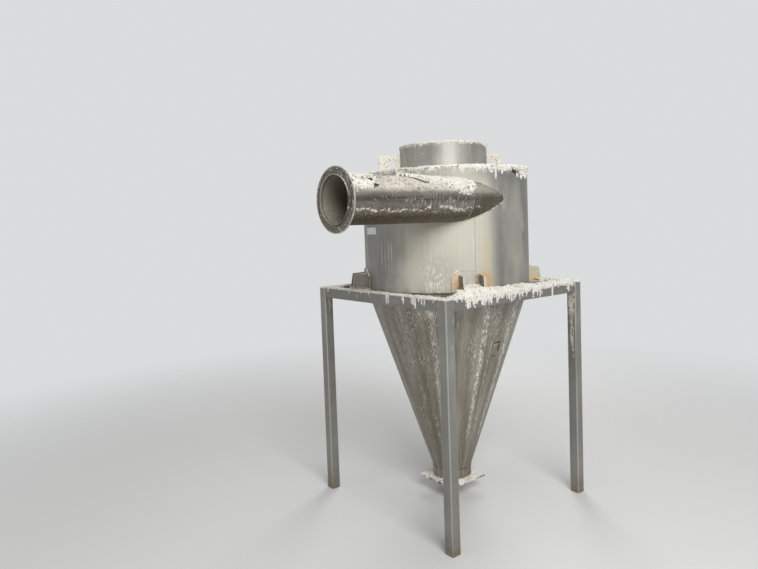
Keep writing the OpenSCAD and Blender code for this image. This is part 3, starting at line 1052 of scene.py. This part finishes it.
def roof_residue():
    width = DRUM_R - COLLAR_R

    def lay(along, across):
        place = on_drum(along / DRUM_R, COLLAR_R + across, ROOF_TOP)
        grain = crumble(place, 0.045)
        hole = lumps(place, 0.16, 11) + 0.35 * lumps(place, 0.04, 12)
        thick = 0.0045 * (1 + grain) + 0.006 * smooth(0.05, 0, across)
        thick += 0.003 * smooth(0.08, 0.02, width - across)
        thick = (thick + 0.0022 * crumbs(place, 0.018)) * smooth(-0.001, 0.006, width - across)
        return place, UP, -1 if hole > 0.42 or across < 0.0005 else thick

    crust("residue_roof", 2 * pi * DRUM_R, width + 0.001, 0.0075, lay)


def rim_residue():
    """The crust round the roof's rim, with its runs down the drum's wall."""
    inward, depth = 0.022, 0.09
    front, torn = (DRUM_R * radians(angle) for angle in (262, 283))
    runs = measured(DRUM_R * radians(260), (0, 78, 5))
    runs += measured(front, (-50, 40, 4), (30, 46, 6))
    runs += measured(torn, (-20, 60, 10), (30, 72, 12), (60, 55, 12), (100, 66, 10), (140, 40, 10))
    edge = Edge(
        lambda a: 0.014 + 0.011 * smooth(0.2, 0.04, abs(a - front))
        + 0.014 * smooth(0.14, 0.04, abs(a - torn - 0.05)),
        runs + chance(21, 90, 0, 3.35, 0.01, 0.032),
        3.3,
    )

    def lay(along, across):
        turn = along / DRUM_R
        down = across - inward
        place = on_drum(turn, DRUM_R + min(0, down), ROOF_TOP - max(0, down))
        heavy = smooth(0.2, 0.05, abs(along - torn - 0.04))
        grain = crumble(place, 0.024)
        inside = edge.inside(along, down) if down > 0 else 1
        if down > 0.004 and lumps((along, 0, 7), 0.12, 15) > 0.3 and heavy < 0.1:
            inside -= 0.01
        thick = (0.0024 + 0.006 * heavy) * (1 + 0.7 * grain)
        thick += (0.0012 + 0.003 * heavy) * crumbs(place, 0.013)
        thick *= min(1, max(0, inside) / 0.004)
        # Torn open: a gap behind the loose flakes, where the drum's finish paints shade
        angle = degrees(turn)
        slant = 0.011 + 0.003 * (angle - 273.8)
        tear = abs(down - slant) < (0.009 + 0.004 * grain) * smooth(7.5, 4.5, abs(angle - 279.5))
        lean = smooth(-EDGE, EDGE, down) * pi / 2
        out = on_drum(turn, sin(lean), cos(lean)) - CENTRE
        return place, out, -1 if tear or inside <= 0 else thick

    crust("residue_roof_rim", 2 * pi * DRUM_R, inward + depth, 0.0038, lay)


def collar_residue():
    length = 2 * pi * COLLAR_R
    left, right = (COLLAR_R * radians(angle) for angle in (170, 300))
    edge = Edge(
        lambda a: 0.01 + hump(a, right, 0.12, 0.01) + hump(a, left, 0.12, 0.007),
        chance(31, 60, 0, length, 0.008, 0.026),
        8.1,
    )

    def lay(along, across):
        turn = along / COLLAR_R
        place = on_drum(turn, COLLAR_R, COLLAR_TOP - 0.0006 - across)
        grain = crumble(place, 0.02)
        inside = edge.inside(along, across)
        if lumps((along, 0, 3), 0.1, 16) > 0.36:
            inside = min(inside, 0.004 - across)
        heavy = 1 + hump(along, right, 0.12, 1.4) + hump(along, left, 0.12, 0.8)
        thick = (0.002 * (1 + 0.6 * grain) + 0.001 * crumbs(place, 0.011)) * heavy
        thick *= min(1, max(0, inside) / 0.003)
        thick *= 0.3 + 0.7 * smooth(0, 0.003, across)
        return place, on_drum(turn, 1, 0) - CENTRE, thick if inside > 0 else -1

    crust("residue_collar_rim", length, 0.05, 0.0034, lay)


# The thick sheet's outline on the pipe: places along it and degrees from the pipe's top
SHEET = [(-0.475, 0), (-0.39, 27), (-0.35, 41), (-0.262, 51), (-0.183, 61), (-0.118, 73),
         (-0.04, 78), (0.015, 62), (0.035, 32), (0.06, 0)]


def sheet_edge(x):
    """Degrees from the pipe's top down to the sheet's edge."""
    for (near, low), (far, high) in zip(SHEET, SHEET[1:]):
        if near <= x <= far:
            return low + (high - low) * (x - near) / (far - near)
    return -10


def pipe_crust(name, start, length, arc, lay_pipe):
    """Pitted residue over an arc of the pipe's top. lay_pipe(x, tilt, place) gives its
    thickness; tilt is the angle from the top."""
    arc = radians(arc)

    def lay(along, across):
        tilt = across / PIPE_R - arc / 2
        place = pipe_point(tilt, start + along, PIPE_R)
        out = pipe_point(tilt, 0, 1) - pipe_point(tilt, 0, 0)
        return place, out, lay_pipe(start + along, tilt, place)

    crust(name, length, PIPE_R * arc, 0.0034, lay, PITTED)


def pipe_residue():
    """The thick sheet of residue, lifted at its loose end."""

    def lay(x, tilt, place):
        ragged = crumble(place, 0.05)
        fine = crumble(place, 0.016)
        loose = smooth(-0.29, -0.34, x)
        steady = 1 - 0.9 * loose
        edge = sheet_edge(x + 0.02 * ragged * steady) + (10 * ragged + 9 * fine) * steady
        inside = radians(edge) - abs(tilt)
        rough_rim = smooth(0.3, 0.05, inside)
        thick = 0.0048 + 0.005 * loose + 0.003 * ragged
        thick += (0.0018 + 0.006 * rough_rim) * crumbs(place, 0.013)
        thick *= min(1, inside / 0.022)
        pit = lumps(place, 0.017, 23) > 0.5 - 0.22 * rough_rim and inside < 0.45 and x > -0.27
        in_drum = hypot(place.x - AXIS_X, place.y) < DRUM_R + 0.004
        return -1 if inside <= 0 or pit or in_drum else thick

    pipe_crust("residue_pipe_sheet", -0.52, 0.6, 200, lay)


def ring_patch():
    """Lumpy residue on the pipe's top behind the ring flange, with two bare spots."""
    start = RING_HIGH[0] + 0.0035

    def lay(x, tilt, place):
        ragged = crumble(place, 0.04)
        fine = crumble(place, 0.014)
        fade = smooth(0.25, 0.15, x - start + 0.05 * ragged)
        edge = 72 * fade + 20 * ragged + 16 * fine - 6
        inside = radians(edge) - abs(tilt)
        thick = 0.0012 + 0.0042 * fade * (1 + ragged) + 0.0026 * crumbs(place, 0.015)
        thick *= min(1, inside / 0.06)
        for spot_x, angle, wide, _, _ in BARE_SPOTS:
            away = hypot(x - spot_x, (tilt - radians(angle)) * PIPE_R)
            if away < wide * (0.55 + 0.5 * fine):
                thick = -1
        holes = lumps(place, 0.022, 21) + 0.4 * fine
        return -1 if inside <= 0 or holes > 0.06 + 0.18 * fade else thick

    pipe_crust("residue_pipe_ring", start, 0.28, 150, lay)


def plate_residue():
    side = PLATE_HIGH[0] - PLATE_LOW[0]
    hole_at = side / 2 - 0.023

    def lay(along, across):
        place = Vector((PLATE_LOW[0] + along, PLATE_LOW[1] + across, PLATE_HIGH[2]))
        radius = hypot(place.x - AXIS_X, place.y)
        grain = crumble(place, 0.028)
        rim = min(along, across, side - along, side - across)
        thick = (0.004 + 0.012 * smooth(0.05, 0, radius - NECK_R)) * (1 + grain)
        thick = (thick + 0.0025 * crumbs(place, 0.014)) * smooth(-0.002, 0.01, rim)
        hole = hypot(abs(place.x - AXIS_X) - hole_at, abs(place.y) - hole_at)
        bare = radius < NECK_R - 0.002 or lumps(place, 0.05, 18) > 0.4 or hole < 0.01
        return place, UP, -1 if bare else thick

    crust("residue_dust_flange", side, side, 0.0042, lay)


def pad_residue():
    """Residue caught on the pads' top edges, with a blob on each."""
    depth = 0.009
    for side, word in enumerate(BRACKETS):
        blob_at = (-0.082, 0.026, 0.01) if side == 0 else (0.06, 0.03, 0.006)

        def lay(along, across):
            sideways = along - BRACKET_HALF
            out = sqrt((DRUM_R + PAD_T * 0.5) ** 2 - sideways**2) + across - 0.002
            rim = PAD_H - max(0, abs(sideways) - (BRACKET_HALF - PAD_CUT))
            place = on_bracket(side, out, sideways, PAD_Z + rim)
            blob = hump(sideways, *blob_at)
            thick = 0.0016 * (1 + crumble(place, 0.016)) + blob + 0.001 * crumbs(place, 0.008)
            thick *= smooth(0, 0.002, across) * smooth(depth, 0.006, across)
            bare = lumps(place, 0.03, 41) > 0.12 and blob <= 0.0005
            return place, UP, -1 if bare else max(thick, 0.0002)

        crust("residue_pad_" + word, 2 * BRACKET_HALF, depth, 0.0026, lay, RESIDUE, 0.0008)


rails_residue()
leg_smears()
roof_residue()
rim_residue()
collar_residue()
pipe_residue()
ring_patch()
plate_residue()
pad_residue()
sticker()


# Studio
def lamp(name, place, aim, width, height, power):
    """A soft lamp at a place, with its width, height and power in watts."""
    light = bpy.data.lights.new(name, "AREA")
    light.shape = "ELLIPSE"
    light.size = width
    light.size_y = height
    light.energy = power
    holder = added(name, light)
    holder.location = place
    holder.rotation_mode = "QUATERNION"
    holder.rotation_quaternion = (Vector(aim) - Vector(place)).to_track_quat("-Z", "Y")


def studio():
    deselect()
    bpy.ops.mesh.primitive_circle_add(vertices=96, radius=16, fill_type="NGON", location=(0, 0, -0.001))
    floor = bpy.context.object
    activate(floor)
    bpy.ops.object.transform_apply(location=True, rotation=True, scale=True)
    floor.name = "studio_floor"
    tone = bpy.data.materials.new("floor_pale")
    tone.use_nodes = True
    tree = tone.node_tree
    shader = tree.nodes["Principled BSDF"]
    shader.inputs["Base Color"].default_value = colour(216, 216, 214)
    shader.inputs["Roughness"].default_value = 0.9
    # The floor fades out into the air away from the part
    start = Shade(tree)
    x, y, _ = start.node("ShaderNodeTexCoord", output=3).split()
    far = ((x * x + y * y) ** 0.5).step(1.6, 6.0)
    clear = start.node("ShaderNodeBsdfTransparent")
    shown = start.node("ShaderNodeMixShader", inputs={0: far, 1: Shade(tree, shader.outputs[0]), 2: clear})
    tree.links.new(shown.socket, tree.nodes["Material Output"].inputs["Surface"])
    floor.data.materials.append(tone)

    # The air is brighter to the camera and in mirrors than as a light
    world = bpy.data.worlds.new("studio_air")
    bpy.context.scene.world = world
    world.use_nodes = True
    tree = world.node_tree
    ground = tree.nodes["Background"]
    rays = tree.nodes.new("ShaderNodeLightPath").outputs
    seen, glossy, through = (
        Shade(tree, rays[name]) for name in ("Is Camera Ray", "Is Glossy Ray", "Is Transmission Ray")
    )
    seen = seen.larger(glossy).larger(through)
    tree.links.new((seen * 0.44 + 0.28).socket, ground.inputs["Strength"])
    ground.inputs["Color"].default_value = (0.98, 0.99, 1.0, 1)

    lamp("key_light", (-1.9, -4.6, 4.4), (0.25, 0, 1.3), 3.6, 3.8, 285)
    lamp("side_light", (-5.2, 1.0, 2.6), (0.25, 0, 1.2), 2.0, 3.2, 14)
    lamp("back_light", (4.2, 3.4, 3.6), (0.25, 0, 1.4), 2.8, 3.2, 130)
    lamp("top_light", (0.4, -0.4, 6.0), (0.25, 0, 1.4), 3.2, 3.2, 38)


def camera():
    """The photograph's own view, from eye height: it looks along the heading, in degrees
    from +X towards +Y, a little down and with a little roll."""
    focal_pixels, frame_width, foot_shift = 600, 758, 24
    heading, pitch, roll = 51.99, -3.185, -2.045
    lens = bpy.data.cameras.new("photo_camera")
    lens.sensor_width = 36
    lens.sensor_fit = "HORIZONTAL"
    lens.lens = focal_pixels / frame_width * lens.sensor_width
    lens.shift_y = -foot_shift / frame_width
    holder = added("photo_camera", lens)
    turned = Matrix.Translation((-2.5244, -2.8546, 1.7817))
    for angle, axis in ((heading - 90, "Z"), (90 + pitch, "X"), (roll, "Z")):
        turned = turned @ Matrix.Rotation(radians(angle), 4, axis)
    holder.matrix_world = turned
    bpy.context.scene.camera = holder


studio()
camera()
bpy.context.scene.view_settings.view_transform = "Standard"
